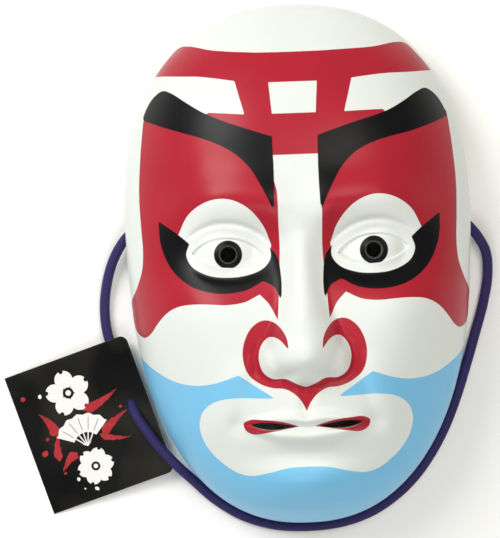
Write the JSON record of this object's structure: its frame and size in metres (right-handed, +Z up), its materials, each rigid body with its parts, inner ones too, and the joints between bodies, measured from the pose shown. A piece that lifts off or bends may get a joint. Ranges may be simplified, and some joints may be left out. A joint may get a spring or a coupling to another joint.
{
  "type": "kabuki mask",
  "caption": "Hollow stage-face mask lying face up, with painted make-up, pupil holes, mouth slits, a wearing cord and a swing tag.",
  "frame": {"origin": "on the floor, under the middle of the mask shell's box", "axes": "+Z up out of the face, +Y towards the crown, +X to the right of a viewer who faces the mask"},
  "size_m": [0.2345, 0.2501, 0.0882],
  "materials": {
    "painted_shell": "satin paint: white ground with crimson, black and sky blue make-up",
    "violet_cord": "round braided elastic cord",
    "printed_card": "black printed card, slightly glossy"
  },
  "bodies": {
    "root": {"mask_shell": "painted_shell", "cord": "violet_cord", "knot_left": "violet_cord", "knot_right": "violet_cord", "swing_tag": "printed_card"}
  },
  "joints": []
}
